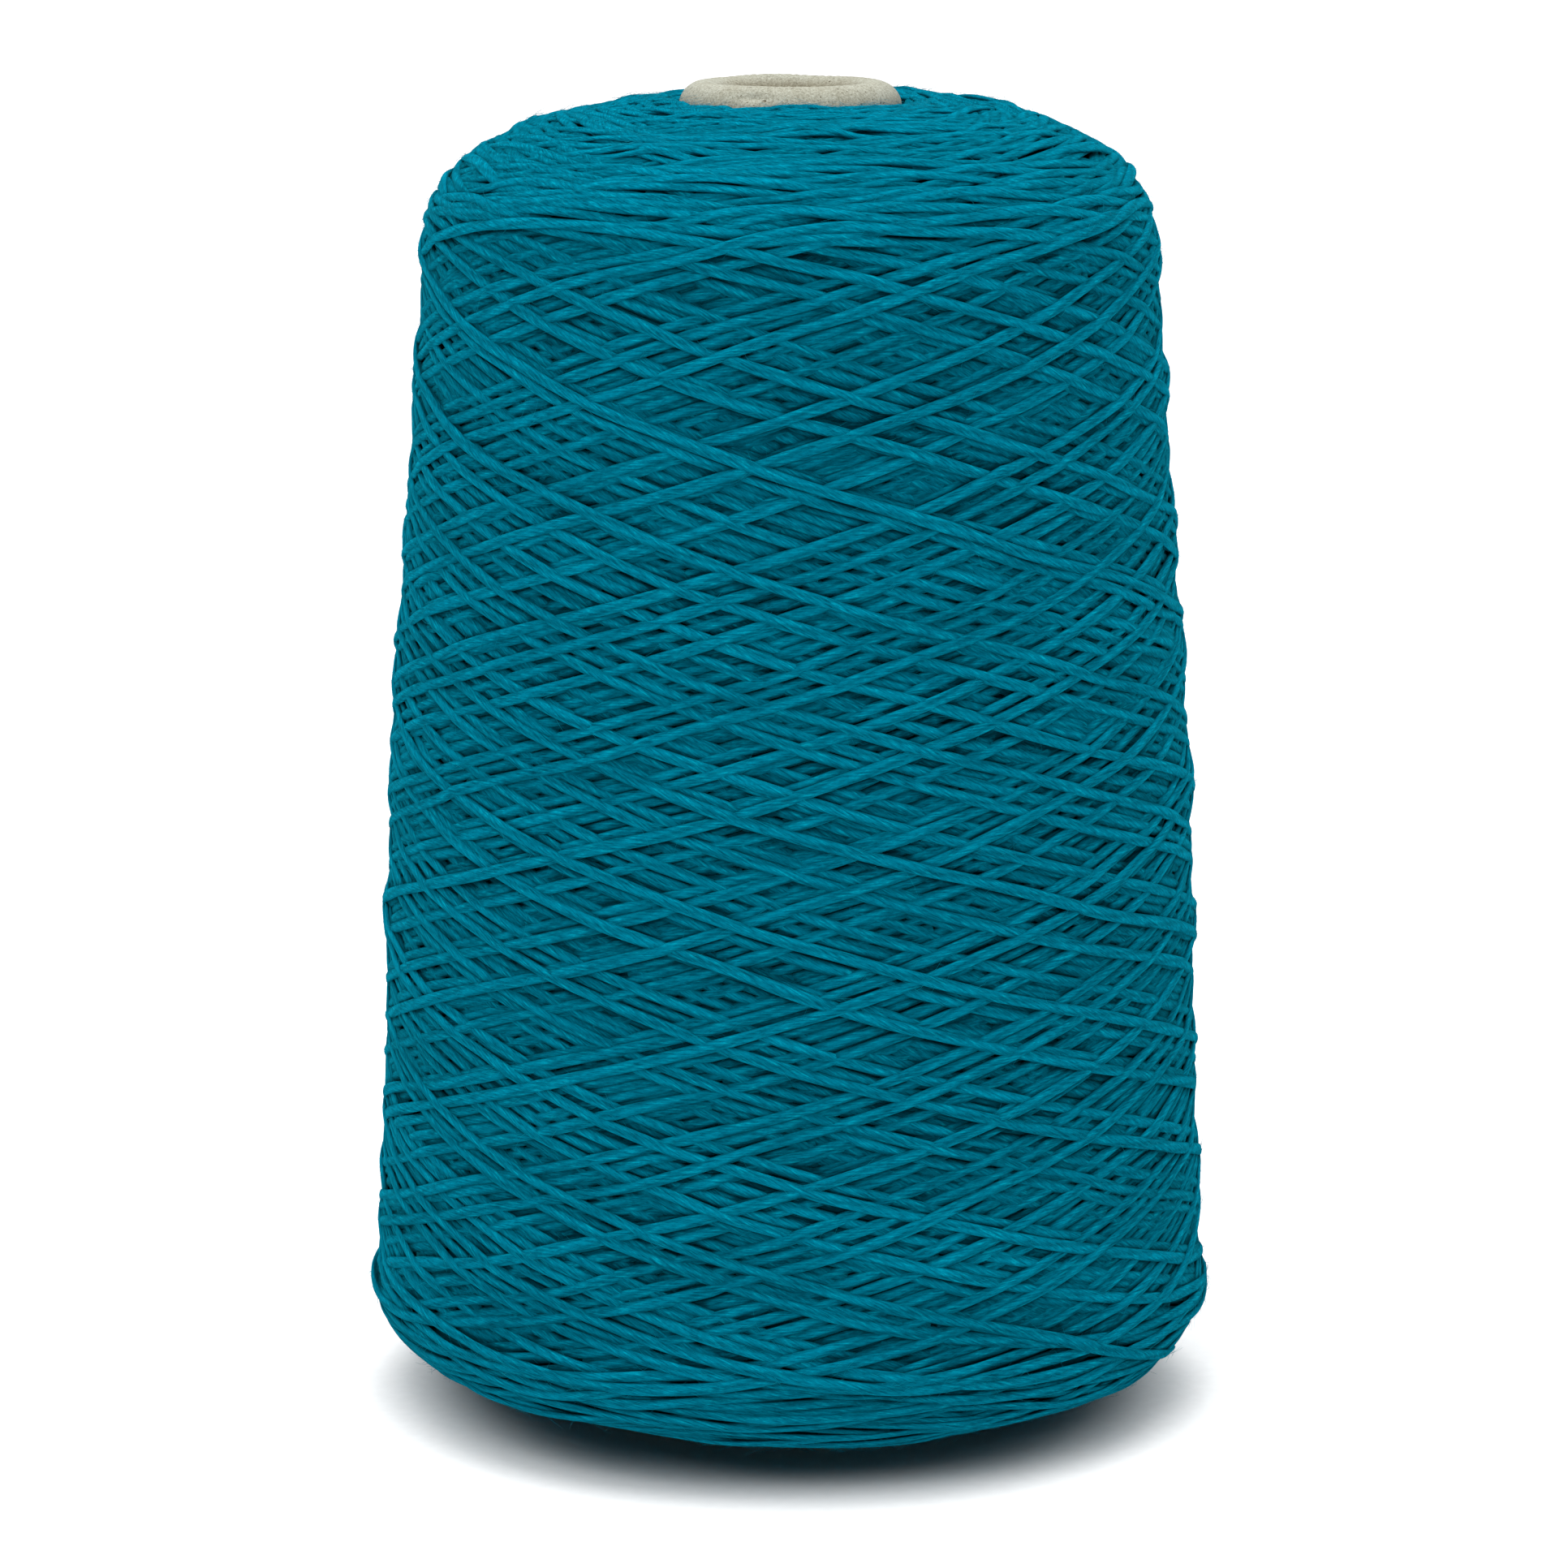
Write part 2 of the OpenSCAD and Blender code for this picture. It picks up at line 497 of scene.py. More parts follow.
def lay_package(surface, rng):
    """Lays all of the yarn. Returns the map, and the strand's angle, s and height of its underside."""
    heights = HeightMap(surface)
    angle, s = cross_winding(surface, rng)
    bottom = np.zeros(len(s))
    slide = np.zeros(len(s))
    curve_radius = surface.radius(surface.widest) * RUN_CURVE
    for start in range(0, len(s), LAID_AT_ONCE):
        stop = min(start + LAID_AT_ONCE, len(s))
        before = max(start - LEAD_IN, 0)
        part = slice(before, stop)
        wanted = heights.way_down(angle[part], s[part])
        wanted[: start - before] = slide[before:start]
        slide[start:stop] = smooth(wanted, SLIDE_SOFT / PATH_STEP / 3)[start - before :]
        s[start:stop] += slide[start:stop]
        support = heights.support(angle[part], s[part])[0]
        support[: start - before] = bottom[before:start]
        bottom[start:stop] = rest_height(support, curve_radius)[start - before :]
        laying = slice(max(start - HELD_BACK, 0), stop if stop == len(s) else stop - HELD_BACK)
        heights.lay(angle[laying], s[laying], bottom[laying])
    return heights, angle, s, smooth(bottom, 3)


def packed(height):
    """How much of a height is left once the yarn is wound tight and its turns press into each other."""
    limit = np.where(height > 0, HIGHEST, -DEEPEST)
    return RELIEF * limit * (1 - np.exp(-height / limit))


# ------------ the strand's tube
def around(angle, middle):
    """1 at one side of the package, falling off smoothly within about 40 degrees."""
    return np.exp(AROUND_FALL * (np.cos(angle - middle) - 1))


def fullness(surface, angle, s):
    """How far the yarn stands over the nominal surface: at the nose, and on the dome, side and foot."""
    near_nose = np.exp(-(((surface.end - s) / HEAP_REACH) ** 2))
    nose = HEAP + HEAP_MORE * around(angle, HEAP_ANGLE) - HOLLOW * around(angle, HOLLOW_ANGLE)
    nose = nose + HEAP_WAVE * np.cos(HEAP_WAVES * angle + 2.0)
    dome = np.exp(-(((s - (surface.shoulder + surface.end) / 2) / DOME_REACH) ** 2))
    side = np.minimum(surface.shoulder - s, s - surface.widest + SIDE_END)
    side = np.clip(side / SIDE_FADE, 0, 1)
    one_side = (1 + np.cos(angle)) / 2
    under = surface.widest - s - FOOT_PLACE - FOOT_LOWER * one_side
    foot = np.exp(-((under / FOOT_REACH) ** 2)) * (FOOT_FULL + FOOT_MORE * one_side)
    return near_nose * nose + DOME_FULL * dome * one_side + SIDE_FULL * side + foot


def strand_rings(surface, heights, angle, s, bottom):
    """The rings of every part of the strand that shows: their centres, directions, depths and shade."""
    seen = heights.shows(angle, s, bottom)
    reach = int(SHOWN_MARGIN / PATH_STEP)
    seen = np.convolve(seen, np.ones(2 * reach + 1), mode="same") > 0.5
    skyward = np.clip(np.interp(s, surface.s, surface.nz), 0, 1)
    flat = heights.packed_depth(angle, s, bottom + STRAND_T * PRESSED)
    evened = flat * (1 + (DOME_RELIEF - 1) * skyward)
    centre = surface.points(angle, s, evened + fullness(surface, angle, s) - STRAND_T / 2)
    normal = surface.normals(angle, s)
    tangent = np.gradient(centre, axis=0)
    tangent /= np.linalg.norm(tangent, axis=1)[:, None]
    side = np.cross(tangent, normal)
    side /= np.linalg.norm(side, axis=1)[:, None]
    normal = np.cross(side, tangent)
    lines = {"centre": centre, "side": side, "normal": normal, "depth": flat}
    lines["along"] = np.arange(len(s)) * PATH_STEP
    radius = surface.radius(s)
    turned, rise = np.gradient(angle) * radius, np.gradient(s)
    size = np.hypot(turned, rise)
    swing, rise = rise / size / radius, -turned / size
    edges = np.flatnonzero(np.diff(np.concatenate([[0], seen.astype(int), [0]])))
    parts = []
    for first, stop in edges.reshape(-1, 2):
        pick = np.arange(first, stop, RINGS_EVERY)
        if len(pick) > 3:
            part = {name: values[pick] for name, values in lines.items()}
            cover = heights.cover(angle[pick], s[pick], swing[pick], rise[pick], flat[pick])
            part["cover"] = cover * (1 - COVER_SKY * skyward[pick])[:, None]
            parts.append(part)
    return parts


def tube_vertices(part, along, squeeze):
    """Corners of the strand's rings, their fibre coordinates, and if they are on a ply or in a groove."""
    centre, side, normal = part["centre"], part["side"], part["normal"]
    twist = 2 * math.pi * along / PLY_PITCH
    ply = np.cos(PLY_COUNT * SECTION[None, :] - twist[:, None])
    lobe = (1 + PLY_DEPTH * ply) * squeeze[:, None]
    across = (np.cos(SECTION) * STRAND_W / 2)[None, :] * lobe
    up = (np.sin(SECTION) * STRAND_T / 2)[None, :] * lobe
    vertices = centre[:, None, :] + side[:, None, :] * across[..., None]
    vertices = vertices + normal[:, None, :] * up[..., None]
    radius = (STRAND_W + STRAND_T) / 4
    fibre_turn = SECTION[None, :] + (along * math.tan(FIBRE_SLANT) / radius)[:, None]
    fibre = np.stack([
        np.repeat(along[:, None], STRAND_SIDES, 1),
        radius * np.cos(fibre_turn),
        radius * np.sin(fibre_turn),
    ], axis=-1)
    return vertices.reshape(-1, 3), fibre.reshape(-1, 3), ply.ravel()


def bake_rows(ring_of_corner, turn_of_corner, along_of_ring):
    """A UV map for baking, with the strand laid out in rows."""
    length = along_of_ring[-1]
    girth = math.pi * (STRAND_W + STRAND_T) / 2 * ROW_GIRTH
    rows = max(1, round(math.sqrt(length / girth)))
    row_length = length / rows
    row = np.minimum((along_of_ring / row_length).astype(int), rows - 1)
    first_ring = ring_of_corner.reshape(-1, 4).min(1).repeat(4)
    u = (along_of_ring[ring_of_corner] - row[first_ring] * row_length) / (row_length * ROW_SPARE)
    v = (row[first_ring] + ROW_START + ROW_FILL * turn_of_corner) / rows
    return np.column_stack([np.clip(u, 0, 1), v])


def bake_caps(caps):
    """The same for the strand's cut ends, as specks along the map's right edge."""
    ring = (np.array(caps) // STRAND_SIDES).ravel()
    turn = np.tile(np.arange(STRAND_SIDES), len(caps)) * 2 * math.pi / STRAND_SIDES
    u = 1 - CAP_EDGE + CAP_SIZE * np.cos(turn)
    v = (0.5 + ring % CAP_PLACES) / CAP_PLACES + CAP_SIZE * np.sin(turn)
    return np.column_stack([u, v])


def build_strand(parts, material, rng):
    """Builds the strand that shows as pieces, each along a stretch of the yarn."""
    total = sum(len(part["along"]) for part in parts)
    rings_each = MAX_PIECE_FACES / (2 * STRAND_SIDES)
    piece_count = math.ceil(total / rings_each)
    limit = math.ceil(total / piece_count) + 1
    pieces = []
    batch = []
    used = 0
    for part in parts:
        at = 0
        count = len(part["along"])
        while at < count - 1:
            stop = min(count, at + limit - used)
            if count - stop < 4:
                stop = count
            batch.append({name: values[at:stop] for name, values in part.items()})
            used += stop - at
            at = stop - 1 if stop < count else stop
            if used >= limit - 8:
                pieces.append(batch)
                batch = []
                used = 0
    if batch:
        pieces.append(batch)
    return [strand_piece(f"yarn_run_{i + 1:02d}", batch, material, rng) for i, batch in enumerate(pieces)]


def strand_piece(name, batch, material, rng):
    """One piece of the strand: the tubes of a batch of runs, each closed at both ends."""
    turns = np.arange(STRAND_SIDES)
    carried = {"fibre": [], "ply": [], "depth": [], "tone": [], "cover": []}
    vertices, quads, caps, rings, columns, lengths = [], [], [], [], [], []
    ring_at = 0
    length_at = 0.0
    origin = batch[0]["along"][0]
    ring_step = PATH_STEP * RINGS_EVERY
    for part in batch:
        along = part["along"]
        count = len(along)
        squeeze = 1 + SQUEEZE * wander(count, ring_step, SQUEEZE_LENGTH, rng)
        corners, fibre, ply = tube_vertices(part, along - origin, squeeze)
        vertices.append(corners)
        carried["fibre"].append(fibre)
        carried["ply"].append(ply)
        # the depth also gives deeper turns their painted shade
        carried["depth"].append(np.repeat(part["depth"], STRAND_SIDES))
        carried["cover"].append(part["cover"].ravel())
        tone = wander(count, ring_step, TONE_LENGTH, rng)
        carried["tone"].append(np.repeat(tone, STRAND_SIDES))
        ring = ring_at + np.arange(count - 1)
        a = ring[:, None] * STRAND_SIDES + turns
        b = ring[:, None] * STRAND_SIDES + (turns + 1) % STRAND_SIDES
        quads.append(np.stack([a, a + STRAND_SIDES, b + STRAND_SIDES, b], axis=-1).reshape(-1, 4))
        r = np.repeat(ring, STRAND_SIDES)
        rings.append(np.stack([r, r + 1, r + 1, r], axis=-1))
        c = np.tile(turns, count - 1)
        columns.append(np.stack([c, c, c + 1, c + 1], axis=-1))
        caps.append(ring_at * STRAND_SIDES + turns)
        caps.append((ring_at + count - 1) * STRAND_SIDES + turns[::-1])
        lengths.append(length_at + along - along[0])
        length_at += along[-1] - along[0] + RUN_GAP
        ring_at += count
    quads = np.concatenate(quads)
    piece = new_mesh(name, np.concatenate(vertices), quads, [np.array(caps)])
    for value_name, values in carried.items():
        kind = "FLOAT_VECTOR" if value_name == "fibre" else "FLOAT"
        add_attribute(piece, value_name, kind, np.concatenate(values))
    along_of_ring = np.concatenate(lengths)
    turn_of_corner = np.concatenate(columns).ravel() / STRAND_SIDES
    uv = bake_rows(np.concatenate(rings).ravel(), turn_of_corner, along_of_ring)
    layer = piece.data.uv_layers.new(name="OFBake")
    layer.data.foreach_set("uv", np.concatenate([uv, bake_caps(caps)]).astype(np.float32).ravel())
    piece.data.materials.append(material)
    return piece


# ------------ loose fibres
def hair_points(parts, rng):
    """Points along the fibres that stand out of the topmost turns, and each one's cross directions."""
    names = ("centre", "side", "normal", "depth")
    centre, side, normal, depth = [np.concatenate([part[name] for part in parts]) for name in names]
    top = np.flatnonzero(depth > HAIR_TURNS)
    weight = np.where(centre[top, 2] < FOOT_FLUFF_UNDER, FOOT_FLUFF, 1.0)
    pick = np.sort(rng.choice(top, HAIRS, replace=False, p=weight / weight.sum()))
    centre, side, normal = centre[pick], side[pick], normal[pick]
    tangent = np.cross(normal, side) * rng.choice([-1, 1], HAIRS)[:, None]
    lean = rng.uniform(-0.5, 0.5, HAIRS)[:, None]
    crown = STRAND_T / 2 * np.sqrt(1 - (2 * HAIR_SPREAD * lean) ** 2) * HAIR_ROOT
    root = centre + side * lean * STRAND_W * HAIR_SPREAD + normal * crown
    length = HAIR_LENGTH * rng.uniform(*HAIR_LENGTHS, HAIRS)[:, None]
    rise = rng.uniform(*HAIR_RISES, HAIRS)[:, None]
    sway = rng.normal(0, HAIR_SWAY, HAIRS)[:, None]
    curl = rng.normal(0, HAIR_CURL, HAIRS)[:, None]
    points = []
    for t in np.linspace(0, 1, HAIR_RINGS):
        out = rise * t - HAIR_DROOP * rise * t * t
        points.append(root + length * (tangent * t + normal * out + side * (sway * t + curl * t * t)))
    return np.stack(points, axis=1), side, normal


def build_hairs(parts, material, rng):
    """The loose fibres, as fine bent tubes that get thinner towards their tips."""
    points, side, normal = hair_points(parts, rng)
    turn = np.arange(HAIR_SIDES) * 2 * math.pi / HAIR_SIDES
    taper = np.linspace(1, HAIR_TIP, HAIR_RINGS)[None, :, None, None] * HAIR_RADIUS
    ring = side[:, None, None, :] * np.cos(turn)[None, None, :, None]
    ring = ring + normal[:, None, None, :] * np.sin(turn)[None, None, :, None]
    vertices = (points[:, :, None, :] + ring * taper).reshape(-1, 3)
    hair = np.arange(HAIRS)[:, None, None] * HAIR_RINGS * HAIR_SIDES
    level = np.arange(HAIR_RINGS - 1)[None, :, None] * HAIR_SIDES
    corner = np.arange(HAIR_SIDES)[None, None, :]
    a = hair + level + corner
    b = hair + level + (corner + 1) % HAIR_SIDES
    quads = np.stack([a, b, b + HAIR_SIDES, a + HAIR_SIDES], axis=-1).reshape(-1, 4)
    ends = hair[:, 0] + np.arange(HAIR_SIDES)[None, :]
    caps = [ends[:, ::-1], ends + (HAIR_RINGS - 1) * HAIR_SIDES]
    piece = new_mesh("yarn_loose_fibres", vertices, quads, caps)
    piece.data.materials.append(material)
    return piece


# ------------ the board cone
def cone_section(node):
    """The closed section of the cone from the CAD solid's corners, as (r, z) points close together."""
    co = np.array([v.co for v in node.data.vertices])
    r, z = np.hypot(co[:, 0], co[:, 1]), co[:, 2]
    top, hole = z.max(), r.min()
    roll = r[z > top - 0.01 * MM].mean() - hole
    bore = z[r < hole + 0.01 * MM]
    land = bore.min()
    rim = z < 0.01 * MM
    bevel = r.max() - r[rim].max()
    inner = r[rim].min() - bevel
    roll_z = top - roll
    below = z[(z < land - 0.01 * MM) & (z > bevel * 2) & (r < inner)]
    chamfer = below.max() if len(below) else land - 4 * MM
    chamfer_r = r[np.abs(z - chamfer) < 0.01 * MM].min()
    turn = np.linspace(0, math.pi, 40)
    lip = np.column_stack([hole + roll + roll * np.cos(turn), roll_z + roll * np.sin(turn)])
    corners = np.concatenate([
        [[inner + bevel, 0], [r.max() - bevel, 0], [r.max(), bevel]],
        lip,
        [[hole, land], [chamfer_r, chamfer], [inner, bevel], [inner + bevel, 0]],
    ])
    length = np.concatenate([[0], np.cumsum(np.hypot(*np.diff(corners, axis=0).T))])
    even = np.arange(0, length[-1], CONE_STEP)
    at = np.unique(np.concatenate([even, length[:-1]]))
    at = at[np.concatenate([[True], np.diff(at) > 0.05 * MM])]
    return np.interp(at, length, corners[:, 0]), np.interp(at, length, corners[:, 1]), roll_z, hole


def waves(angle, z, rng, count, low, high):
    """Sum of count waves, low to high of them around the cone, with a spread of about 1."""
    total = np.zeros(np.broadcast(angle, z).shape)
    for _ in range(count):
        turns = rng.integers(low, high)
        total += np.cos(turns * angle + rng.uniform(-0.4, 0.4) * z / MM + rng.uniform(0, 2 * math.pi))
    return total / math.sqrt(count / 2)


def board_shift(angle, r, z, roll_z, hole, rng):
    """How far the rolled board stands off its even section, outwards."""
    on_lip = np.clip((z - roll_z + LIP_BELOW) / LIP_FADE, 0, 1)
    inside = np.clip((hole + HOLE_WALL - r) / LIP_FADE, 0, 1) * (z > roll_z - HOLE_DEPTH)
    lumps = LUMPS * waves(angle, z * 0.2, rng, count=6, low=2, high=7) * (0.25 + on_lip)
    creases = CREASES * np.abs(waves(angle, z, rng, count=8, low=18, high=46))
    creases = creases * np.maximum(inside, 0.35 * on_lip)
    grain = GRAIN * waves(angle, z * 3, rng, count=12, low=40, high=90)
    lap = np.clip((np.cos(angle - LAP_ANGLE) - math.cos(LAP_HALF)) * LAP_STEEP, 0, 1)
    lap = LAP * lap * (z < roll_z)
    aside = (angle - DENT_ANGLE) / DENT_WIDTH
    above = (z - roll_z - DENT_ABOVE) / DENT_HEIGHT
    dent = DENT * np.exp(-(aside ** 2) - above ** 2) * (r > hole + DENT_OUTSIDE)
    return lumps + creases + grain + lap + dent


def build_cone(node, material, rng):
    """The rolled board: uneven, creased where its lip turns into the hole, and lapped along one side."""
    r, z, roll_z, hole = cone_section(node)
    angle = np.arange(CONE_SIDES) * 2 * math.pi / CONE_SIDES
    r, z = r[:, None], z[:, None]
    dr = np.roll(r, -1, 0) - np.roll(r, 1, 0)
    dz = np.roll(z, -1, 0) - np.roll(z, 1, 0)
    size = np.hypot(dr, dz)
    shift = board_shift(angle, r, z, roll_z, hole, rng)
    rough_r = r + dz / size * shift
    rough_z = np.where(z < STANDING, np.maximum(z, 0), z - dr / size * shift)
    vertices = np.stack([rough_r * np.cos(angle), rough_r * np.sin(angle), rough_z], axis=-1)
    piece = new_mesh("board_cone", vertices.reshape(-1, 3), ring_quads(len(r), CONE_SIDES))
    # 1 in and round the hole, where painted shade darkens the board
    bore = np.clip((hole + BORE_WALL - r) / BORE_FADE, 0, 1)
    add_attribute(piece, "bore", "FLOAT", np.broadcast_to(bore, rough_r.shape))
    piece.data.materials.append(material)
    return piece


# ------------ materials
def node_material(name):
    """A new material, with its nodes, links and shader."""
    material = bpy.data.materials.new(name)
    material.use_nodes = True
    nodes = material.node_tree.nodes
    shader = nodes["Principled BSDF"]
    return material, nodes, material.node_tree.links, shader


def make_noise(nodes, links, vector, scale, detail, roughness=0.5):
    """A noise texture's value."""
    noise = nodes.new("ShaderNodeTexNoise")
    noise.inputs["Scale"].default_value = scale
    noise.inputs["Detail"].default_value = detail
    noise.inputs["Roughness"].default_value = roughness
    links.new(vector, noise.inputs["Vector"])
    return noise.outputs["Fac"]


def make_ramp(nodes, links, value, stops):
    """A colour ramp with a list of (place, colour)."""
    ramp = nodes.new("ShaderNodeValToRGB")
    elements = ramp.color_ramp.elements
    for i, (place, colour) in enumerate(stops):
        element = elements[i] if i < 2 else elements.new(place)
        element.position = place
        element.color = (*colour, 1)
    links.new(value, ramp.inputs["Fac"])
    return ramp.outputs["Color"]


def make_map_range(nodes, links, value, low, high, to_low, to_high):
    """A value taken from the range low to high to another range."""
    node = nodes.new("ShaderNodeMapRange")
    node.inputs["From Min"].default_value = low
    node.inputs["From Max"].default_value = high
    node.inputs["To Min"].default_value = to_low
    node.inputs["To Max"].default_value = to_high
    links.new(value, node.inputs["Value"])
    return node.outputs["Result"]


def make_product(nodes, links, a, b):
    """Two colours multiplied."""
    node = nodes.new("ShaderNodeMix")
    node.data_type = "RGBA"
    node.blend_type = "MULTIPLY"
    node.inputs["Factor"].default_value = 1.0
    links.new(a, node.inputs["A"])
    links.new(b, node.inputs["B"])
    return node.outputs["Result"]


def attribute_value(nodes, name):
    """A value that the mesh has for each of its corners."""
    node = nodes.new("ShaderNodeAttribute")
    node.attribute_name = name
    return node.outputs["Fac"]


def make_bump(nodes, links, shader, height, strength, distance):
    """Gives a shader fine relief."""
    bump = nodes.new("ShaderNodeBump")
    bump.inputs["Strength"].default_value = strength
    bump.inputs["Distance"].default_value = distance
    links.new(height, bump.inputs["Height"])
    links.new(bump.outputs["Normal"], shader.inputs["Normal"])


def yarn_material():
    """Dyed cotton-like yarn: fine fibres along a slight twist, matt, with a faint bloom at its edges, and
    painted shade on deeper turns, in the creases between turns and in the grooves between its plies.
    """
    material, nodes, links, shader = node_material("teal_yarn")
    fibre = nodes.new("ShaderNodeAttribute")
    fibre.attribute_name = "fibre"
    stretch = nodes.new("ShaderNodeMapping")
    stretch.inputs["Scale"].default_value = (0.35 / MM, 4.2 / MM, 4.2 / MM)
    links.new(fibre.outputs["Vector"], stretch.inputs["Vector"])
    streaks = make_noise(nodes, links, stretch.outputs["Vector"], 1.0, 3.0, 0.65)
    colour = make_ramp(nodes, links, streaks, [
        (0.30, (0.0, 0.055, 0.088)),
        (0.44, (0.0, 0.104, 0.162)),
        (0.58, (0.0, 0.146, 0.222)),
        (0.74, (0.001, 0.265, 0.358)),
    ])
    shades = [
        ("tone", -2.5, 2.5, 0.88, 1.12),
        # painted shade: turns that lie deeper are darker
        ("depth", -1.3 * MM, -0.3 * MM, 0.8, 1.0),
        # painted shade in the creases between turns and where they touch, less on upward surfaces
        ("cover", COVER_OPEN, COVER_SHUT, 1.0, 0.26),
        # painted shade in the grooves between the plies, and a little painted light on the plies
        ("ply", -1.0, 0.1, 0.74, 1.09),
    ]
    for name, low, high, to_low, to_high in shades:
        grey = make_map_range(nodes, links, attribute_value(nodes, name), low, high, to_low, to_high)
        colour = make_product(nodes, links, colour, grey)
    links.new(colour, shader.inputs["Base Color"])
    links.new(make_map_range(nodes, links, streaks, 0.3, 0.8, 0.95, 0.78), shader.inputs["Roughness"])
    make_bump(nodes, links, shader, streaks, 0.45, 0.12 * MM)
    shader.inputs["Specular IOR Level"].default_value = 0.0
    shader.inputs["Sheen Weight"].default_value = 0.16
    shader.inputs["Sheen Roughness"].default_value = 0.45
    shader.inputs["Sheen Tint"].default_value = (0.02, 0.55, 0.68, 1)
    return material


def hair_material():
    """The same fibres where they stand alone, a little paler."""
    material, nodes, links, shader = node_material("loose_fibre")
    place = nodes.new("ShaderNodeTexCoord")
    tone = make_noise(nodes, links, place.outputs["Object"], 300, 2.0)
    colour = make_ramp(nodes, links, tone, [(0.3, (0.0, 0.14, 0.21)), (0.7, (0.002, 0.24, 0.32))])
    links.new(colour, shader.inputs["Base Color"])
    links.new(make_map_range(nodes, links, tone, 0.3, 0.7, 0.9, 0.7), shader.inputs["Roughness"])
    shader.inputs["Specular IOR Level"].default_value = 0.05
    return material


def bed_material():
    """The turns deep inside, where little light reaches."""
    material, nodes, links, shader = node_material("deep_yarn")
    place = nodes.new("ShaderNodeTexCoord")
    lines = nodes.new("ShaderNodeMapping")
    lines.inputs["Scale"].default_value = (60, 60, 900)
    links.new(place.outputs["Object"], lines.inputs["Vector"])
    grain = make_noise(nodes, links, lines.outputs["Vector"], 1.0, 2.0)
    # painted shade: darker than the strand's own colour, since little light reaches so deep
    colour = make_ramp(nodes, links, grain, [(0.3, (0.0, 0.05, 0.08)), (0.7, (0.0, 0.10, 0.15))])
    links.new(colour, shader.inputs["Base Color"])
    links.new(make_map_range(nodes, links, grain, 0.3, 0.7, 0.98, 0.9), shader.inputs["Roughness"])
    make_bump(nodes, links, shader, grain, 0.8, 0.5 * MM)
    shader.inputs["Specular IOR Level"].default_value = 0.0
    return material


def board_material():
    """Grey-beige recycled board: fine fibres, pale and dark specks, and painted shade in and round the
    hole.
    """
    material, nodes, links, shader = node_material("grey_board")
    place = nodes.new("ShaderNodeTexCoord")
    vector = place.outputs["Object"]
    fibres = make_noise(nodes, links, vector, 2600, 4.0, 0.7)
    clouds = make_noise(nodes, links, vector, 180, 3.0, 0.6)
    specks = make_noise(nodes, links, vector, 1500, 1.0, 0.5)
    base = make_ramp(nodes, links, fibres, [
        (0.30, (0.16, 0.155, 0.118)),
        (0.46, (0.29, 0.290, 0.235)),
        (0.60, (0.37, 0.380, 0.320)),
        (0.78, (0.51, 0.530, 0.470)),
    ])
    cloud = make_ramp(nodes, links, clouds, [(0.3, (0.86, 0.84, 0.80)), (0.7, (1.0, 1.0, 1.0))])
    speck = make_ramp(nodes, links, specks, [(0.24, (0.30, 0.24, 0.18)), (0.30, (1.0, 1.0, 1.0))])
    colour = make_product(nodes, links, base, cloud)
    colour = make_product(nodes, links, colour, speck)
    bore = attribute_value(nodes, "bore")
    # painted shade in and round the hole: darker and browner there
    hole_shade = make_ramp(nodes, links, bore, [(0.0, (1.0, 1.0, 1.0)), (1.0, (0.62, 0.56, 0.48))])
    colour = make_product(nodes, links, colour, hole_shade)
    links.new(colour, shader.inputs["Base Color"])
    links.new(make_map_range(nodes, links, fibres, 0.3, 0.8, 0.97, 0.8), shader.inputs["Roughness"])
    make_bump(nodes, links, shader, fibres, 0.5, 0.12 * MM)
    shader.inputs["Specular IOR Level"].default_value = 0.15
    shader.inputs["Sheen Weight"].default_value = 0.08
    return material


def floor_material():
    """White paper."""
    material, nodes, links, shader = node_material("white_paper")
    place = nodes.new("ShaderNodeTexCoord")
    grain = make_noise(nodes, links, place.outputs["Object"], 400, 2.0)
    colour = make_ramp(nodes, links, grain, [(0.3, (0.90, 0.90, 0.90)), (0.7, (0.93, 0.93, 0.93))])
    links.new(colour, shader.inputs["Base Color"])
    shader.inputs["Roughness"].default_value = 0.9
    shader.inputs["Specular IOR Level"].default_value = 0.1
    return material


# ------------ other pieces
def build_bed(surface, material):
    """The turns under the ones that show, as one closed body around the cone."""
    drop = DEEPEST * RELIEF + BED_GAP
    r = (surface.r - surface.nr * drop)[::BED_STEP]
    z = (surface.z - surface.nz * drop)[::BED_STEP]
    r = np.concatenate([r, [min(r[-1], surface.r[-1]), min(r[0], surface.r[0])]])
    z = np.concatenate([z, [z[-1], z[0]]])
    turn = np.arange(BED_SIDES) * 2 * math.pi / BED_SIDES
    rings = np.stack([
        r[:, None] * np.cos(turn),
        r[:, None] * np.sin(turn),
        np.repeat(z[:, None], BED_SIDES, 1),
    ], axis=-1)
    piece = new_mesh("yarn_inner_turns", rings.reshape(-1, 3), ring_quads(len(r), BED_SIDES))
    piece.data.materials.append(material)
    return piece


def build_floor(material):
    """A plain square floor."""
    mesh = bpy.data.meshes.new("floor")
    corners = [(x * FLOOR_REACH, y * FLOOR_REACH, 0) for x, y in ((-1, -1), (1, -1), (1, 1), (-1, 1))]
    mesh.from_pydata(corners, [], [(0, 1, 2, 3)])
    floor = bpy.data.objects.new("floor", mesh)
    bpy.context.scene.collection.objects.link(floor)
    mesh.materials.append(material)


def add_light(name, place, size, power, target):
    """A round soft light that faces a target."""
    light = bpy.data.lights.new(name, "AREA")
    light.shape = "DISK"
    light.size = size
    light.energy = power
    lamp = bpy.data.objects.new(name, light)
    lamp.location = place
    lamp.rotation_euler = (Vector(target) - Vector(place)).to_track_quat("-Z", "Y").to_euler()
    bpy.context.scene.collection.objects.link(lamp)


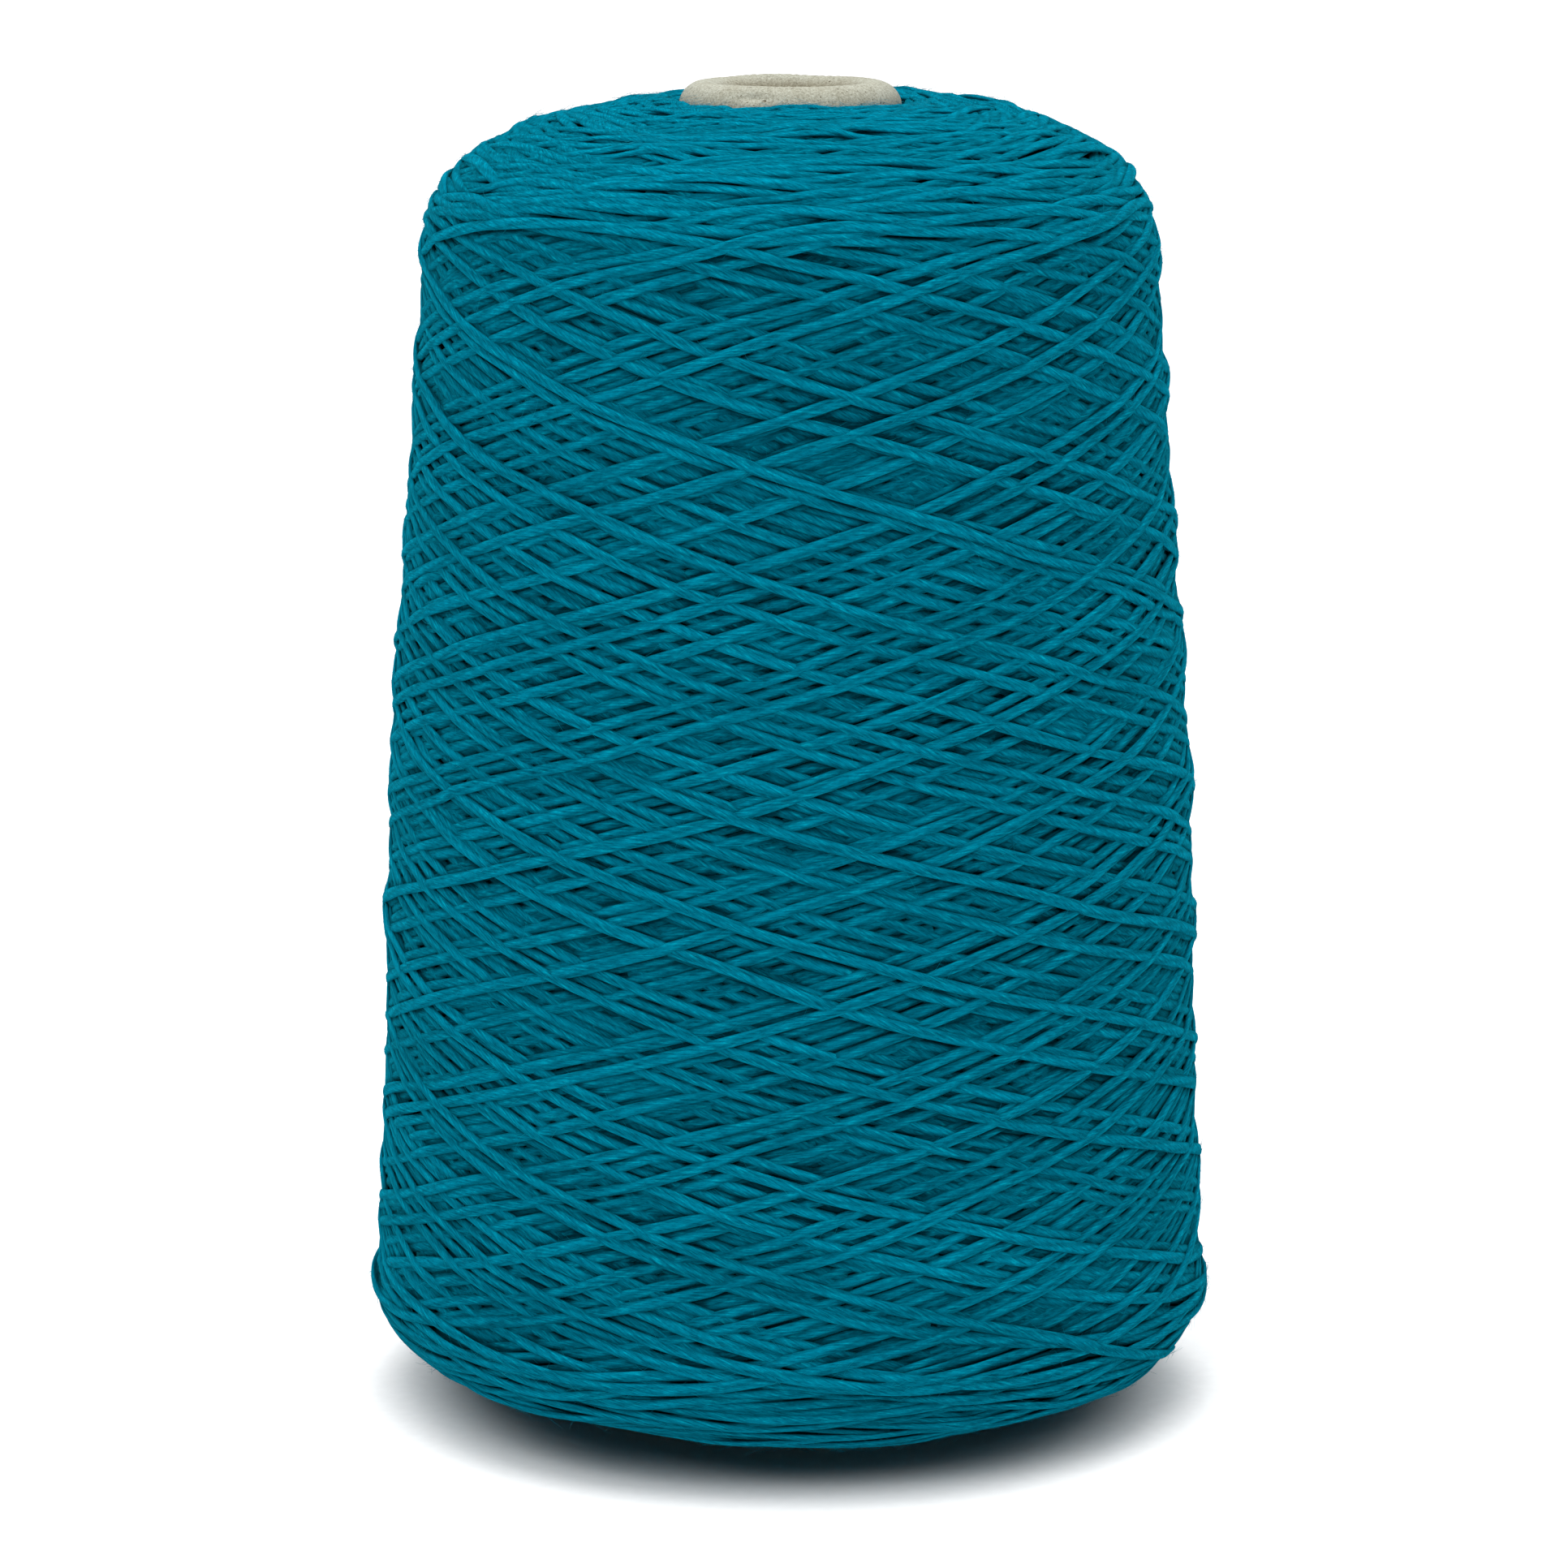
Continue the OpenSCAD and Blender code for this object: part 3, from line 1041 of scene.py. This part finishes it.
def studio_world():
    """Soft light from above, as in a light tent: little comes from near the horizon."""
    world = bpy.data.worlds.new("studio")
    world.use_nodes = True
    nodes, links = world.node_tree.nodes, world.node_tree.links
    tent = nodes["Background"]
    place = nodes.new("ShaderNodeTexCoord")
    split = nodes.new("ShaderNodeSeparateXYZ")
    links.new(place.outputs["Generated"], split.inputs["Vector"])
    ramp = nodes.new("ShaderNodeMapRange")
    ramp.interpolation_type = "SMOOTHSTEP"
    ramp.inputs["From Min"].default_value = TENT_LOW
    ramp.inputs["From Max"].default_value = TENT_HIGH
    ramp.inputs["To Min"].default_value = TENT_DARK
    ramp.inputs["To Max"].default_value = TENT_LIGHT
    links.new(split.outputs["Z"], ramp.inputs["Value"])
    links.new(ramp.outputs["Result"], tent.inputs["Strength"])
    tent.inputs["Color"].default_value = (1, 1, 1, 1)
    backdrop = nodes.new("ShaderNodeBackground")
    backdrop.inputs["Color"].default_value = (1, 1, 1, 1)
    path = nodes.new("ShaderNodeLightPath")
    either = nodes.new("ShaderNodeMixShader")
    links.new(path.outputs["Is Camera Ray"], either.inputs["Fac"])
    links.new(tent.outputs["Background"], either.inputs[1])
    links.new(backdrop.outputs["Background"], either.inputs[2])
    links.new(either.outputs["Shader"], nodes["World Output"].inputs["Surface"])
    return world


def set_studio():
    """White surroundings with a large soft light overhead and one by the camera."""
    scene = bpy.context.scene
    scene.view_settings.view_transform = "Standard"
    scene.world = studio_world()
    middle = (0, 0, 0.12)
    add_light("overhead", (0.0, -0.15, 1.5), 1.3, 10.5, middle)
    add_light("front", (-0.6, -1.3, 1.3), 1.2, 8, middle)


def set_camera():
    """The camera at the photograph's viewing angle."""
    camera = bpy.data.cameras.new("camera")
    camera.lens = LENS
    camera.sensor_width = 36
    holder = bpy.data.objects.new("camera", camera)
    holder.location = (CAMERA_ASIDE, -CAMERA_AWAY, CAMERA_HEIGHT)
    holder.rotation_euler = (math.pi / 2 - CAMERA_PITCH, 0, 0)
    bpy.context.scene.collection.objects.link(holder)
    bpy.context.scene.camera = holder


# ------------ the scene
def build():
    """Builds the yarn and the cone, puts them under one body, and hides the CAD solids that they stand for.
    """
    rng = np.random.default_rng(SEED)
    surface = Surface(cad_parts["wound_yarn"])
    heights, angle, s, bottom = lay_package(surface, rng)
    heights.find_level()
    heights.find_shade()
    parts = strand_rings(surface, heights, angle, s, bottom)
    pieces = build_strand(parts, yarn_material(), rng)
    pieces.append(build_bed(surface, bed_material()))
    pieces.append(build_hairs(parts, hair_material(), rng))
    for piece in pieces:
        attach(piece, "root")
        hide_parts("wound_yarn")
    cone = build_cone(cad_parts["paper_cone"], board_material(), rng)
    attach(cone, "root")
    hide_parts("paper_cone")


set_camera()
set_studio()
build_floor(floor_material())
build()
